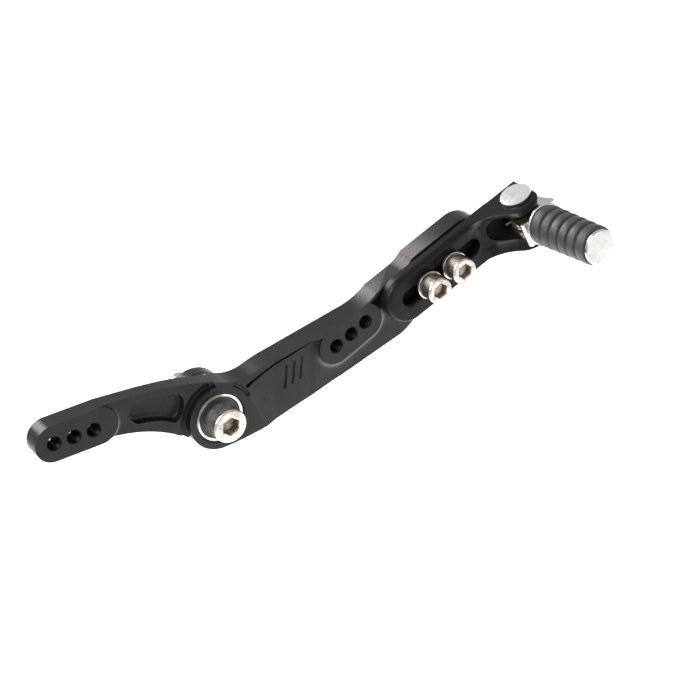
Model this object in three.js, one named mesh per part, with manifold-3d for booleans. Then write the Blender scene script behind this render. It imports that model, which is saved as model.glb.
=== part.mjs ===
// Folding, adjustable gear shift lever on a two-bearing pivot.
// Frame: millimetres, origin on the pivot axis in the plane of the arm's front face,
// +X from the pivot towards the toe peg, +Z up in the lever's plane, -Y outboard.
import * as THREE from 'three';
import { mergeVertices } from 'three/addons/utils/BufferGeometryUtils.js';
import Module from 'manifold-3d';

const wasm = await Module();
wasm.setup();

// ---- driving dimensions -------------------------------------------------
const GAP = 0.3;                 // clearance kept between touching pieces
const ROUND = 28;                // segments on large round features
const FINE = 18;                 // segments on holes and shanks

const ARM_BACK = 9;              // long arm runs from y 0 to here
const REAR_ARM_BACK = 7.5;       // rear arm runs from y 0 to here
const BOSS_BACK = 15;
const BOSS_RADIUS = 12.3;
const BOSS_BACK_RADIUS = 11.5;

const BEARING_BORE = 8.2;        // 8 x 19 x 6 deep groove bearing
const BEARING_OUTER = 18.9;
const BEARING_WIDTH = 6;
const BEARING_FRONT_Y = 0.4;
const BEARING_REAR_Y = 8.6;
const RACE_INNER_SHOULDER = 5.4;
const RACE_OUTER_SHOULDER = 8.1;
const BALL_RADIUS = 1.5;
const BALL_PITCH_RADIUS = 6.75;
const BALL_COUNT = 7;
const SEAL_THICKNESS = 0.6;
const SEAL_INSET = 0.3;

const PIVOT_HEAD_RADIUS = 6.5;   // M8 x 35 socket cap screw
const PIVOT_HEAD_HEIGHT = 8;
const PIVOT_SHANK_RADIUS = 3.85;
const PIVOT_LENGTH = 35;
const PIVOT_SEAT_Y = 0.1;
const SPACER_BACK = 22;
const SPACER_RADIUS = 11;

const HOLE_PITCH_REAR = 7.5;     // linkage holes in the rear pad
const HOLE_RADIUS = 2.5;          // tapping size of M6
const REAR_HOLE = [-53.7, 36.0]; // outermost hole
const REAR_PAD_SLOPE = -22.6;    // degrees, from the outer hole to the boss
const MID_HOLES = [[50.6, -7.4], [57.7, -7.3], [64.7, -7.0]];
const PAD_RADIUS = 7.1;
const FRONT_POCKET = 1.0;        // depth of the shallow front recesses
const REAR_POCKET = 3.2;         // depth of the deep pocket beside the boss

const PLATE_FRONT = -4.8;        // sliding plate of the toe piece
const PLATE_BACK = 0.2;
const PLATE_Z = -7.86;
const PLATE_HALF = 9.3;
const PLATE_LEFT_X = 82.3;       // centre of the plate's round end
const SEAT_Y = 0.5;              // seat milled in the arm for the plate
const SLOT_HALF = 3.3;
const SLOT_X = [83.0, 113.8];    // centres of the slot's round ends
const CLAMP_X = [91.6, 103.5];   // two M6 x 16 clamp screws
const CLAMP_HEAD_RADIUS = 5;
const CLAMP_HEAD_HEIGHT = 6;
const CLAMP_SHANK_RADIUS = 2.9;
const CLAMP_LENGTH = 16;
const WASHER_RADIUS = 5.4;
const WASHER_THICKNESS = 1.4;

const HINGE = [136, -8.9];       // x, y of the folding hinge, axis along Z
const EAR_THICKNESS = 3.9;
const MOUTH_BACK = -2.2;         // wall left behind the hinge
const MOUTH_LEFT = 121.0;        // the mouth ends in a full round here
const PIN_RADIUS = 2.5;
const PIN_HEAD_RADIUS = 6;
const PIN_HEAD_HEIGHT = 1.1;
const CIRCLIP_THICKNESS = 0.7;

const PEG_YAW = 5;               // degrees, peg leans towards +X
const PEG_Z = -8.2;
const LUG_RADIUS = 6.2;
const NECK_HALF = 9.0;           // half width of the neck at its flange
const FLANGE_START = 10.6;       // distances along the peg, from the hinge axis
const FLANGE_END = 11.6;
const FLANGE_RADIUS = 8.0;
const RUBBER_START = 11.9;
const RUBBER_END = 40.0;
const RUBBER_RADIUS = 7.7;
const RUBBER_BORE = 4.6;
const CAP_START = 40.3;
const CAP_END = 42.0;
const CAP_RADIUS = 6.6;
const COIL_RADIUS = 5.3;
const WIRE_RADIUS = 0.6;
const COIL_TURNS = 3;
const COIL_PITCH = 1.45;
const LEG_LENGTH = 6.4;          // straight legs of the spring, along the wall behind the hinge

// ---- materials ----------------------------------------------------------
const finish = (color, roughness, metalness) =>
  new THREE.MeshStandardMaterial({ color, roughness, metalness });
const anodised = finish(0x2a2829, 0.45, 0.7);
const zincSteel = finish(0xc9c6c0, 0.35, 0.9);
const bearingSteel = finish(0xb9b7b4, 0.25, 0.95);
const sealRubber = finish(0x1b1a1a, 0.7, 0);
const polishedAluminium = finish(0xe2e1de, 0.25, 0.9);
const pegRubber = finish(0x2c2a2a, 0.85, 0);
const springSteel = finish(0xa59a7c, 0.4, 0.9);
const cageSteel = finish(0xa8a49a, 0.4, 0.85);

// ---- solids -------------------------------------------------------------
function solid(geometry) {
  const bare = geometry.clone();
  bare.deleteAttribute('normal');
  bare.deleteAttribute('uv');
  const merged = mergeVertices(bare, 1e-5);
  const vertProperties = new Float32Array(merged.attributes.position.array);
  const triVerts = new Uint32Array(merged.index.array);
  return new wasm.Manifold(new wasm.Mesh({ numProp: 3, vertProperties, triVerts }));
}

function toGeometry(body) {
  const mesh = body.getMesh();
  const geometry = new THREE.BufferGeometry();
  geometry.setAttribute('position', new THREE.BufferAttribute(new Float32Array(mesh.vertProperties), 3));
  geometry.setIndex(new THREE.BufferAttribute(new Uint32Array(mesh.triVerts), 1));
  geometry.computeVertexNormals();
  return geometry;
}

function place(parent, name, shape, material) {
  const geometry = shape.isBufferGeometry ? shape : toGeometry(shape);
  const mesh = new THREE.Mesh(geometry, material);
  mesh.name = name;
  parent.add(mesh);
  return mesh;
}

// Plate cut from an outline in the XZ plane, between two y planes.
function plateXZ(outline, front, back, curveSegments = 6) {
  const geometry = new THREE.ExtrudeGeometry(outline, {
    depth: back - front, bevelEnabled: false, curveSegments,
  });
  geometry.rotateX(Math.PI / 2);
  geometry.translate(0, back, 0);
  return solid(geometry);
}

// Plate cut from an outline in the XY plane, between two z planes.
function plateXY(outline, low, high, curveSegments = 6) {
  const geometry = new THREE.ExtrudeGeometry(outline, {
    depth: high - low, bevelEnabled: false, curveSegments,
  });
  geometry.translate(0, 0, low);
  return solid(geometry);
}

function cylinderY(radius, front, back, x = 0, z = 0, segments = FINE) {
  const geometry = new THREE.CylinderGeometry(radius, radius, back - front, segments);
  geometry.translate(x, (front + back) / 2, z);
  return solid(geometry);
}

function cylinderZ(radius, low, high, x = 0, y = 0, segments = FINE) {
  const geometry = new THREE.CylinderGeometry(radius, radius, high - low, segments);
  geometry.rotateX(Math.PI / 2);
  geometry.translate(x, y, (low + high) / 2);
  return solid(geometry);
}

function ringY(outer, inner, front, back, segments = ROUND) {
  const body = cylinderY(outer, front, back, 0, 0, segments);
  return body.subtract(cylinderY(inner, front - 1, back + 1, 0, 0, segments));
}

function box(x, y, z) {
  const geometry = new THREE.BoxGeometry(x[1] - x[0], y[1] - y[0], z[1] - z[0]);
  geometry.translate((x[0] + x[1]) / 2, (y[0] + y[1]) / 2, (z[0] + z[1]) / 2);
  return solid(geometry);
}

function hexSocket(acrossFlats, front, back, x = 0, z = 0) {
  const geometry = new THREE.CylinderGeometry(
    acrossFlats / Math.sqrt(3), acrossFlats / Math.sqrt(3), back - front, 6);
  geometry.translate(x, (front + back) / 2, z);
  return solid(geometry);
}

// Obround between two centres, as an outline.
function obround(from, to, radius) {
  const heading = Math.atan2(to[1] - from[1], to[0] - from[0]);
  const outline = new THREE.Shape();
  outline.absarc(from[0], from[1], radius, heading + Math.PI / 2, heading + 1.5 * Math.PI, false);
  outline.absarc(to[0], to[1], radius, heading - Math.PI / 2, heading + Math.PI / 2, false);
  outline.closePath();
  return outline;
}

function socketScrew(headRadius, headHeight, shankRadius, length, seat, socket, x = 0, z = 0) {
  const head = cylinderY(headRadius, seat - headHeight, seat, x, z, ROUND);
  const shank = cylinderY(shankRadius, seat - 1, seat + length, x, z);
  const recess = hexSocket(socket, seat - headHeight - 1, seat - headHeight / 2, x, z);
  return head.add(shank).subtract(recess);
}

// ---- lever arm ----------------------------------------------------------
const slope = THREE.MathUtils.degToRad(REAR_PAD_SLOPE);
const rearHoles = [0, 1, 2].map((i) => [
  REAR_HOLE[0] + i * HOLE_PITCH_REAR * Math.cos(slope),
  REAR_HOLE[1] + i * HOLE_PITCH_REAR * Math.sin(slope),
]);

function rearArmOutline() {
  const outline = new THREE.Shape();
  outline.moveTo(-50.9, 42.5);
  outline.lineTo(-33.4, 35.9);
  outline.splineThru([
    new THREE.Vector2(-16.8, 27.8),
    new THREE.Vector2(-5.9, 21.6),
    new THREE.Vector2(5.4, 13.5),
  ]);
  outline.lineTo(0, 0);
  outline.lineTo(-13.2, 0);
  outline.quadraticCurveTo(-20.8, 15, -38.5, 23.6);
  outline.lineTo(-56.3, 29.5);
  outline.closePath();
  return outline;
}

function longArmOutline() {
  const outline = new THREE.Shape();
  outline.moveTo(-2, 13);
  outline.lineTo(5.4, 13.5);
  outline.lineTo(10.2, 9.4);
  outline.quadraticCurveTo(12.8, 7.0, 17.1, 6.6);
  outline.quadraticCurveTo(24, 6.5, 27.8, 5.6);
  outline.lineTo(59.1, -0.1);
  outline.quadraticCurveTo(67, -2.0, 73.8, 0.2);
  outline.lineTo(86, 0.2);
  outline.quadraticCurveTo(89.5, 0.5, 92.2, 2.1);
  outline.absarc(113.7, PLATE_Z, 10.0, Math.PI / 2, -Math.PI / 2, true);
  outline.lineTo(90, PLATE_Z - 10.0);
  outline.quadraticCurveTo(83.0, -22.8, 75.4, -23.4);
  outline.lineTo(48, -21.0);
  outline.lineTo(24, -17.7);
  outline.quadraticCurveTo(12, -16.8, -3, -12);
  outline.closePath();
  return outline;
}

// Shallow recess milled in the front of the long arm, from the boss to the mid pad.
function longArmRecess() {
  const outline = new THREE.Shape();
  outline.moveTo(13.5, 4.6);
  outline.lineTo(27.6, 4.4);
  outline.lineTo(42.5, 2.6);
  outline.quadraticCurveTo(44.2, -1.5, 43.2, -5.0);
  outline.quadraticCurveTo(43.2, -12.5, 49, -15.2);
  outline.lineTo(67, -15.2);
  outline.lineTo(76, -18.6);
  outline.lineTo(90, -18.8);
  outline.lineTo(90, -26);
  outline.lineTo(8, -26);
  outline.quadraticCurveTo(15.6, -8, 13.5, 4.6);
  outline.closePath();
  return outline;
}

// Shallow recess between the rear pad and the boss.
function rearArmRecess() {
  const outline = new THREE.Shape();
  outline.moveTo(-31.5, 40);
  outline.quadraticCurveTo(-30.4, 31, -37, 17);
  outline.lineTo(-16, -4);
  outline.absarc(0, 0, 13.6, 2.95, 1.72, true);
  outline.lineTo(-2, 40);
  outline.closePath();
  return outline;
}

// Leaf-shaped pocket in the rear arm, close to the boss.
function leafPocket() {
  const outline = new THREE.Shape();
  outline.moveTo(-26.6, 22.0);
  outline.quadraticCurveTo(-18.0, 17.2, -13.6, 10.6);
  outline.quadraticCurveTo(-10.4, 13.8, -7.4, 17.2);
  outline.quadraticCurveTo(-13, 23.4, -22.4, 27.0);
  outline.quadraticCurveTo(-26.6, 27.2, -26.6, 22.0);
  outline.closePath();
  return outline;
}

function leverArm() {
  const pad = obround(rearHoles[0], [-37.6, 29.9], PAD_RADIUS);
  let arm = plateXZ(longArmOutline(), 0, ARM_BACK);
  arm = arm.add(plateXZ(rearArmOutline(), 0, REAR_ARM_BACK));
  arm = arm.add(plateXZ(pad, 0, REAR_ARM_BACK));
  arm = arm.add(cylinderY(BOSS_RADIUS, 0, ARM_BACK, 0, 0, ROUND));
  arm = arm.add(cylinderY(BOSS_BACK_RADIUS, ARM_BACK - 1, BOSS_BACK, 0, 0, ROUND));
  arm = arm.subtract(plateXZ(longArmRecess(), -5, FRONT_POCKET, 6));
  arm = arm.subtract(plateXZ(rearArmRecess(), -5, FRONT_POCKET, 6));
  arm = arm.subtract(plateXZ(leafPocket(), -5, FRONT_POCKET + REAR_POCKET, 6));
  const seat = obround([PLATE_LEFT_X, PLATE_Z], [140, PLATE_Z], 16);
  const seatEdge = box([PLATE_LEFT_X - PLATE_HALF - GAP, 140], [-5, SEAT_Y], [-40, 20]);
  arm = arm.subtract(plateXZ(seat, -5, SEAT_Y, 8).intersect(seatEdge));
  const pocketDepth = BEARING_FRONT_Y + BEARING_WIDTH + GAP;
  const bore = BEARING_OUTER / 2 + 0.25;
  arm = arm.subtract(cylinderY(bore, -1, pocketDepth, 0, 0, ROUND));
  arm = arm.subtract(cylinderY(bore, BEARING_REAR_Y - GAP, BOSS_BACK + 1, 0, 0, ROUND));
  arm = arm.subtract(cylinderY(RACE_OUTER_SHOULDER, -1, BOSS_BACK + 1, 0, 0, ROUND));
  for (const [x, z] of [...rearHoles, ...MID_HOLES]) {
    arm = arm.subtract(cylinderY(HOLE_RADIUS, -1, ARM_BACK + 1, x, z));
  }
  for (const x of CLAMP_X) {
    arm = arm.subtract(cylinderY(CLAMP_SHANK_RADIUS + GAP, -1, ARM_BACK + 1, x, PLATE_Z));
  }
  return arm;
}

// ---- bearings -----------------------------------------------------------
// Race with a ball groove, turned about the pivot axis.
function race(wallRadius, shoulderRadius, grooveRadius, front) {
  const middle = front + BEARING_WIDTH / 2;
  const profile = [
    new THREE.Vector2(wallRadius, front),
    new THREE.Vector2(shoulderRadius, front),
    new THREE.Vector2(shoulderRadius, middle - BALL_RADIUS),
    new THREE.Vector2(grooveRadius, middle - BALL_RADIUS / 2),
    new THREE.Vector2(grooveRadius, middle + BALL_RADIUS / 2),
    new THREE.Vector2(shoulderRadius, middle + BALL_RADIUS),
    new THREE.Vector2(shoulderRadius, front + BEARING_WIDTH),
    new THREE.Vector2(wallRadius, front + BEARING_WIDTH),
    new THREE.Vector2(wallRadius, front),
  ];
  if (wallRadius > shoulderRadius) {
    profile.reverse();
  }
  return solid(new THREE.LatheGeometry(profile, ROUND));
}

function ballCentre(index, y) {
  const angle = (2 * Math.PI * index) / BALL_COUNT;
  return [BALL_PITCH_RADIUS * Math.cos(angle), y, BALL_PITCH_RADIUS * Math.sin(angle)];
}

// Crown cage: a ring beside the balls with a finger between each pair.
// open is the direction along Y in which the pockets open.
function cage(middle, open) {
  const ends = [middle - 1.0 * -open, middle - 2.5 * open];
  let crown = ringY(7.35, 6.15, Math.min(...ends), Math.max(...ends));
  for (let i = 0; i < BALL_COUNT; i += 1) {
    const pocket = new THREE.SphereGeometry(BALL_RADIUS + GAP, 10, 6);
    pocket.translate(...ballCentre(i, middle));
    crown = crown.subtract(solid(pocket));
  }
  return crown;
}

function addBearing(parent, label, front, sealFront, open) {
  const middle = front + BEARING_WIDTH / 2;
  const groove = BALL_RADIUS + GAP;
  place(parent, `${label}_inner_race`,
    race(BEARING_BORE / 2, RACE_INNER_SHOULDER, BALL_PITCH_RADIUS - groove, front), bearingSteel);
  place(parent, `${label}_outer_race`,
    race(BEARING_OUTER / 2, RACE_OUTER_SHOULDER, BALL_PITCH_RADIUS + groove, front), bearingSteel);
  place(parent, `${label}_seal`,
    ringY(RACE_OUTER_SHOULDER - GAP, RACE_INNER_SHOULDER + GAP, sealFront, sealFront + SEAL_THICKNESS),
    sealRubber);
  place(parent, `${label}_cage`, cage(middle, open), cageSteel);
  for (let i = 0; i < BALL_COUNT; i += 1) {
    const ball = place(parent, `${label}_ball_${i + 1}`, new THREE.IcosahedronGeometry(BALL_RADIUS, 1),
      bearingSteel);
    ball.position.set(...ballCentre(i, middle));
  }
}

// ---- pivot hardware -----------------------------------------------------
function addPivot(parent) {
  place(parent, 'pivot_bolt',
    socketScrew(PIVOT_HEAD_RADIUS, PIVOT_HEAD_HEIGHT, PIVOT_SHANK_RADIUS, PIVOT_LENGTH, PIVOT_SEAT_Y, 6),
    zincSteel);
  const sleeveFront = BEARING_FRONT_Y + BEARING_WIDTH + GAP;
  place(parent, 'bearing_sleeve',
    ringY(5.2, BEARING_BORE / 2, sleeveFront, BEARING_REAR_Y - GAP), bearingSteel);
  const collarFront = BEARING_REAR_Y + BEARING_WIDTH + GAP;
  const flangeFront = BOSS_BACK + 0.6;
  const spacer = cylinderY(SPACER_RADIUS, flangeFront, SPACER_BACK, 0, 0, ROUND)
    .add(cylinderY(5.2, collarFront, flangeFront + 1, 0, 0, ROUND))
    .subtract(cylinderY(BEARING_BORE / 2, 0, SPACER_BACK + 1));
  place(parent, 'pivot_spacer', spacer, anodised);
}

// ---- clamp --------------------------------------------------------------
function addClamp(parent) {
  const washerBack = PLATE_FRONT - GAP;
  const washerFront = washerBack - WASHER_THICKNESS;
  CLAMP_X.forEach((x, i) => {
    const washer = cylinderY(WASHER_RADIUS, washerFront, washerBack, x, PLATE_Z, ROUND)
      .subtract(cylinderY(CLAMP_SHANK_RADIUS + GAP, -20, 0, x, PLATE_Z));
    place(parent, `clamp_washer_${i + 1}`, washer, zincSteel);
    place(parent, `clamp_screw_${i + 1}`,
      socketScrew(CLAMP_HEAD_RADIUS, CLAMP_HEAD_HEIGHT, CLAMP_SHANK_RADIUS, CLAMP_LENGTH,
        washerFront - GAP, 5, x, PLATE_Z),
      zincSteel);
  });
}

// ---- toe slider with its clevis -----------------------------------------
function clevisOutline() {
  const outline = new THREE.Shape();
  outline.moveTo(115, PLATE_BACK);
  outline.lineTo(141.6, PLATE_BACK);
  outline.lineTo(142, -12.2);
  outline.quadraticCurveTo(141.8, -17.9, 136, -17.9);
  outline.quadraticCurveTo(130.4, -17.9, 127.6, -14.3);
  outline.quadraticCurveTo(122.8, -6.4, 116.6, PLATE_FRONT);
  outline.lineTo(115, PLATE_FRONT);
  outline.closePath();
  return outline;
}

function toeSlider() {
  const low = PLATE_Z - PLATE_HALF;
  const high = PLATE_Z + PLATE_HALF;
  const plate = plateXZ(obround([PLATE_LEFT_X, PLATE_Z], [115, PLATE_Z], PLATE_HALF),
    PLATE_FRONT, PLATE_BACK);
  const slot = obround([SLOT_X[0], PLATE_Z], [SLOT_X[1], PLATE_Z], SLOT_HALF);
  const mouthHalf = PLATE_HALF - EAR_THICKNESS;
  const mouth = obround([MOUTH_LEFT + mouthHalf, PLATE_Z], [170, PLATE_Z], mouthHalf);
  let body = plate.add(plateXY(clevisOutline(), low, high));
  body = body.subtract(plateXZ(mouth, -30, MOUTH_BACK));
  body = body.subtract(plateXZ(slot, PLATE_FRONT - 1, PLATE_BACK + 1));
  body = body.subtract(cylinderZ(PIN_RADIUS + GAP, low - 1, high + 1, ...HINGE));
  return body;
}

function addHingePin(parent) {
  const low = PLATE_Z - PLATE_HALF;
  const headLow = PLATE_Z + PLATE_HALF + GAP;
  const clipHigh = low - GAP;
  const clipLow = clipHigh - CIRCLIP_THICKNESS;
  const grooveRadius = PIN_RADIUS - 0.5;
  const shank = cylinderZ(PIN_RADIUS, clipLow - 1.4, headLow + 0.5, ...HINGE);
  const head = cylinderZ(PIN_HEAD_RADIUS, headLow, headLow + PIN_HEAD_HEIGHT, ...HINGE, ROUND);
  const groove = cylinderZ(PIN_RADIUS + 2, clipLow - 0.2, clipHigh + 0.1, ...HINGE)
    .subtract(cylinderZ(grooveRadius, clipLow - 1, clipHigh + 1, ...HINGE));
  place(parent, 'hinge_pin', shank.add(head).subtract(groove), polishedAluminium);
  const clip = cylinderZ(4.3, clipLow, clipHigh - 0.1, ...HINGE)
    .subtract(cylinderZ(grooveRadius + 0.2, clipLow - 1, clipHigh + 1, ...HINGE))
    .subtract(box([HINGE[0] - 1.6, HINGE[0] + 1.6], [HINGE[1], HINGE[1] + 9], [low - 5, low + 5]));
  place(parent, 'pin_circlip', clip, springSteel);
}

// ---- folding toe peg ----------------------------------------------------
// Drawn in the peg's own group: hinge axis at the group's origin, peg along -Y.
// Round lug that widens into the neck, which ends at the flange.
function lugOutline() {
  const outline = new THREE.Shape();
  outline.moveTo(NECK_HALF, -9.6);
  outline.lineTo(7.8, -8);
  outline.lineTo(LUG_RADIUS, 0);
  outline.absarc(0, 0, LUG_RADIUS, 0, Math.PI, false);
  outline.lineTo(-7.8, -8);
  outline.lineTo(-NECK_HALF, -9.6);
  outline.lineTo(-NECK_HALF, -FLANGE_START - 0.2);
  outline.lineTo(NECK_HALF, -FLANGE_START - 0.2);
  outline.closePath();
  return outline;
}

function pegCore() {
  const mouthLow = PLATE_Z - PLATE_HALF + EAR_THICKNESS + GAP;
  const mouthHigh = PLATE_Z + PLATE_HALF - EAR_THICKNESS - GAP;
  const forkGap = COIL_TURNS * COIL_PITCH + 2 * WIRE_RADIUS + 0.6;
  const forkDepth = COIL_RADIUS + WIRE_RADIUS + 1.0;
  let core = plateXY(lugOutline(), mouthLow, mouthHigh, 8);
  const forkLow = PLATE_Z - forkGap / 2;
  const fork = box([-20, 20], [-forkDepth, 20], [forkLow, forkLow + forkGap]);
  core = core.subtract(fork);
  core = core.add(cylinderY(FLANGE_RADIUS, -FLANGE_END, -FLANGE_START, 0, PEG_Z, ROUND));
  core = core.add(cylinderY(RUBBER_BORE - GAP, -CAP_START - 0.5, -FLANGE_START - 0.5, 0, PEG_Z));
  core = core.add(cylinderY(CAP_RADIUS, -CAP_END, -CAP_START, 0, PEG_Z, ROUND));
  core = core.subtract(cylinderZ(PIN_RADIUS + GAP, mouthLow - 1, mouthHigh + 1));
  return core;
}

function rubberSleeve() {
  const ribs = 6;
  const pitch = (RUBBER_END - RUBBER_START) / ribs;
  const groove = 0.8;
  const profile = [new THREE.Vector2(RUBBER_BORE, -RUBBER_END)];
  for (let i = ribs; i > 0; i -= 1) {
    const radius = RUBBER_RADIUS - 0.7 * ((i - 1) / (ribs - 1));
    const outer = -(RUBBER_START + i * pitch);
    profile.push(new THREE.Vector2(radius, outer + (i === ribs ? 0 : groove / 2)));
    profile.push(new THREE.Vector2(radius, outer + pitch - (i === 1 ? 0 : groove / 2)));
    if (i > 1) {
      profile.push(new THREE.Vector2(radius - 0.8, outer + pitch));
    }
  }
  profile.push(new THREE.Vector2(RUBBER_BORE, -RUBBER_START));
  profile.push(new THREE.Vector2(RUBBER_BORE, -RUBBER_END));
  const geometry = new THREE.LatheGeometry(profile, FINE);
  geometry.translate(0, 0, PEG_Z);
  return solid(geometry);
}

// Helical wire around the hinge pin with one straight leg at each end.
function torsionSpring() {
  const steps = 12 * COIL_TURNS;
  const low = PLATE_Z - (COIL_TURNS * COIL_PITCH) / 2;
  const points = [];
  points.push(new THREE.Vector3(-LEG_LENGTH, COIL_RADIUS, low));
  for (let i = 0; i <= steps; i += 1) {
    const turn = i / 12;
    const angle = Math.PI / 2 + 2 * Math.PI * turn;
    points.push(new THREE.Vector3(
      COIL_RADIUS * Math.cos(angle), COIL_RADIUS * Math.sin(angle), low + turn * COIL_PITCH));
  }
  points.push(new THREE.Vector3(-LEG_LENGTH, COIL_RADIUS, low + COIL_TURNS * COIL_PITCH));
  const path = new THREE.CatmullRomCurve3(points, false, 'centripetal');
  const section = new THREE.Shape();
  section.absarc(0, 0, WIRE_RADIUS, 0, 2 * Math.PI, false);
  return new THREE.ExtrudeGeometry(section, {
    extrudePath: path, steps: steps + 8, curveSegments: 3, bevelEnabled: false,
  });
}

// ---- assembly -----------------------------------------------------------
const group = new THREE.Group();

addPivot(group);
place(group, 'lever_arm', leverArm(), anodised);
addBearing(group, 'front', BEARING_FRONT_Y, BEARING_FRONT_Y + SEAL_INSET, -1);
addBearing(group, 'rear', BEARING_REAR_Y, BEARING_REAR_Y + BEARING_WIDTH - SEAL_INSET - SEAL_THICKNESS, 1);
addClamp(group);

const slider = new THREE.Group();
group.add(slider);
place(slider, 'toe_slider', toeSlider(), anodised);
addHingePin(slider);

const peg = new THREE.Group();
peg.position.set(HINGE[0], HINGE[1], 0);
slider.add(peg);
place(peg, 'torsion_spring', torsionSpring(), springSteel);

const pegBody = new THREE.Group();
pegBody.rotation.z = THREE.MathUtils.degToRad(PEG_YAW);
peg.add(pegBody);
place(pegBody, 'toe_peg', pegCore(), polishedAluminium);
place(pegBody, 'rubber_sleeve', rubberSleeve(), pegRubber);

export default group;
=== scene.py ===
"""Looks of a folding, adjustable gear shift lever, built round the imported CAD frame.

Lengths in the modelling code are millimetres and become metres when a mesh is made.
X runs from the pivot to the toe peg, Z is up, and -Y is outboard, towards the viewer.
"""
import math

import bmesh
import bpy
from mathutils import Matrix, Vector


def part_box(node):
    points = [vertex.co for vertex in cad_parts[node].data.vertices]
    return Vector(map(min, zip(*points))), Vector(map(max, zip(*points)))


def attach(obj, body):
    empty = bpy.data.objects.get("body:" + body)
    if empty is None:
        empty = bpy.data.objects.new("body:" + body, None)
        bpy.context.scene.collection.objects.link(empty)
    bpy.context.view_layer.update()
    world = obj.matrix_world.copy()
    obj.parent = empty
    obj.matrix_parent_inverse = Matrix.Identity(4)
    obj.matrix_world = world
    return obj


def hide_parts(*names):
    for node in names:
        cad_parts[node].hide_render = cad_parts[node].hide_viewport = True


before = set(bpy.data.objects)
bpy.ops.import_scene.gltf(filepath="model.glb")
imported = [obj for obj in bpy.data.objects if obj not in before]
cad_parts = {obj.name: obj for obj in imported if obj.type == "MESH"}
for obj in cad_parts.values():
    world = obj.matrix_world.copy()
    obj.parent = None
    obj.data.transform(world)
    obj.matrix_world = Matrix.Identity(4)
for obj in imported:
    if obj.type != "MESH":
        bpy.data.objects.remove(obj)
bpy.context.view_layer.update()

MM = 0.001
TAU = 2 * math.pi


# ---- sizes read from the frame -------------------------------------------
def limits(node):
    """Lowest and highest corner of a CAD node, in millimetres."""
    low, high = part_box(node)
    return low / MM, high / MM


ARM_HIGH = limits("lever_arm")[1]
SPACER_LOW, SPACER_HIGH = limits("pivot_spacer")
SLIDER_LOW, SLIDER_HIGH = limits("toe_slider")
PIN_LOW, PIN_HIGH = limits("hinge_pin")

SLIDER_Z = (SLIDER_LOW.z + SLIDER_HIGH.z) / 2
SLIDER_HALF = (SLIDER_HIGH.z - SLIDER_LOW.z) / 2
HINGE = Vector(((PIN_LOW.x + PIN_HIGH.x) / 2, (PIN_LOW.y + PIN_HIGH.y) / 2, 0))

# The sizes below are the CAD's own. The arm's front face is at y = 0.
ARM_BACK = 9.0
REAR_ARM_BACK = 7.5
BOSS_RADIUS = 12.3
BOSS_BACK_RADIUS = 11.5
PAD_RADIUS = 7.1
REAR_HOLE = (-53.7, 36.0)       # centre of the first linkage hole
REAR_PAD_SLOPE = math.radians(-22.6)
HOLE_RADIUS = 2.5
HOLE_PITCH = 7.5
MID_HOLES = ((50.6, -7.4), (57.7, -7.3), (64.7, -7.0))
SEAT_Y = 0.5                    # face that the sliding plate lies on
CLAMP_HOLE = 3.15
PLATE_FRONT = -4.8
PLATE_BACK = 0.2
PLATE_LEFT = SLIDER_LOW.x + SLIDER_HALF
SLOT_HALF = 3.3
SLOT_X = (83.0, 113.8)          # centres of the slot's two ends
EAR = 3.9                       # height of each ear of the fork
MOUTH_LEFT = 121.0
HINGE_BORE = 2.8
RACE_BORE = 4.1
SHOULDER_RADIUS = 8.1           # bore between the two bearings' seats
PEG_YAW = math.radians(5)
PEG_Z = -8.2

# Choices of this script.
HOLE_THREAD = 1.0               # pitch of the thread in the linkage holes
CUT_FRONT = -5                  # cutters start here, in front of the arm's face
ROUND = 96                      # segments round a turned part


# ---- outlines ------------------------------------------------------------
def arc(centre, radius, start, end, step=0.7):
    """Points of an arc, angles in radians, about `step` millimetres apart."""
    count = max(4, int(abs(end - start) * radius / step))
    angles = [start + (end - start) * i / count for i in range(count + 1)]
    return [(centre[0] + radius * math.cos(a), centre[1] + radius * math.sin(a)) for a in angles]


def bend(start, control, end, count=12):
    """Points of a quadratic curve."""
    points = []
    for i in range(count + 1):
        t = i / count
        points.append(tuple(
            (1 - t) ** 2 * p + 2 * t * (1 - t) * c + t ** 2 * q
            for p, c, q in zip(start, control, end)))
    return points


def through(points, count=8):
    """Points of a smooth curve that passes through every given point."""
    padded = [points[0], *points, points[-1]]
    result = []
    for p0, p1, p2, p3 in zip(padded, padded[1:], padded[2:], padded[3:]):
        for i in range(count):
            t = i / count
            result.append(tuple(
                0.5 * (2 * b + (c - a) * t + (2 * a - 5 * b + 4 * c - d) * t ** 2
                       + (3 * b - a - 3 * c + d) * t ** 3)
                for a, b, c, d in zip(p0, p1, p2, p3)))
    return [*result, points[-1]]


def tidy(points):
    """Drops points that repeat the one before."""
    kept = []
    for p in points:
        if not kept or math.dist(p, kept[-1]) > 0.02:
            kept.append(p)
    if math.dist(kept[0], kept[-1]) < 0.02:
        kept.pop()
    return kept


def obround(start, end, radius):
    heading = math.atan2(end[1] - start[1], end[0] - start[0])
    return (arc(start, radius, heading + math.pi / 2, heading + 1.5 * math.pi)
            + arc(end, radius, heading - math.pi / 2, heading + math.pi / 2))


# ---- mesh building -------------------------------------------------------
def new_object(name, bm):
    bmesh.ops.recalc_face_normals(bm, faces=bm.faces)
    mesh = bpy.data.meshes.new(name)
    bm.to_mesh(mesh)
    bm.free()
    mesh.transform(Matrix.Scale(MM, 4))
    made = bpy.data.objects.new(name, mesh)
    bpy.context.scene.collection.objects.link(made)
    return made


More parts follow.
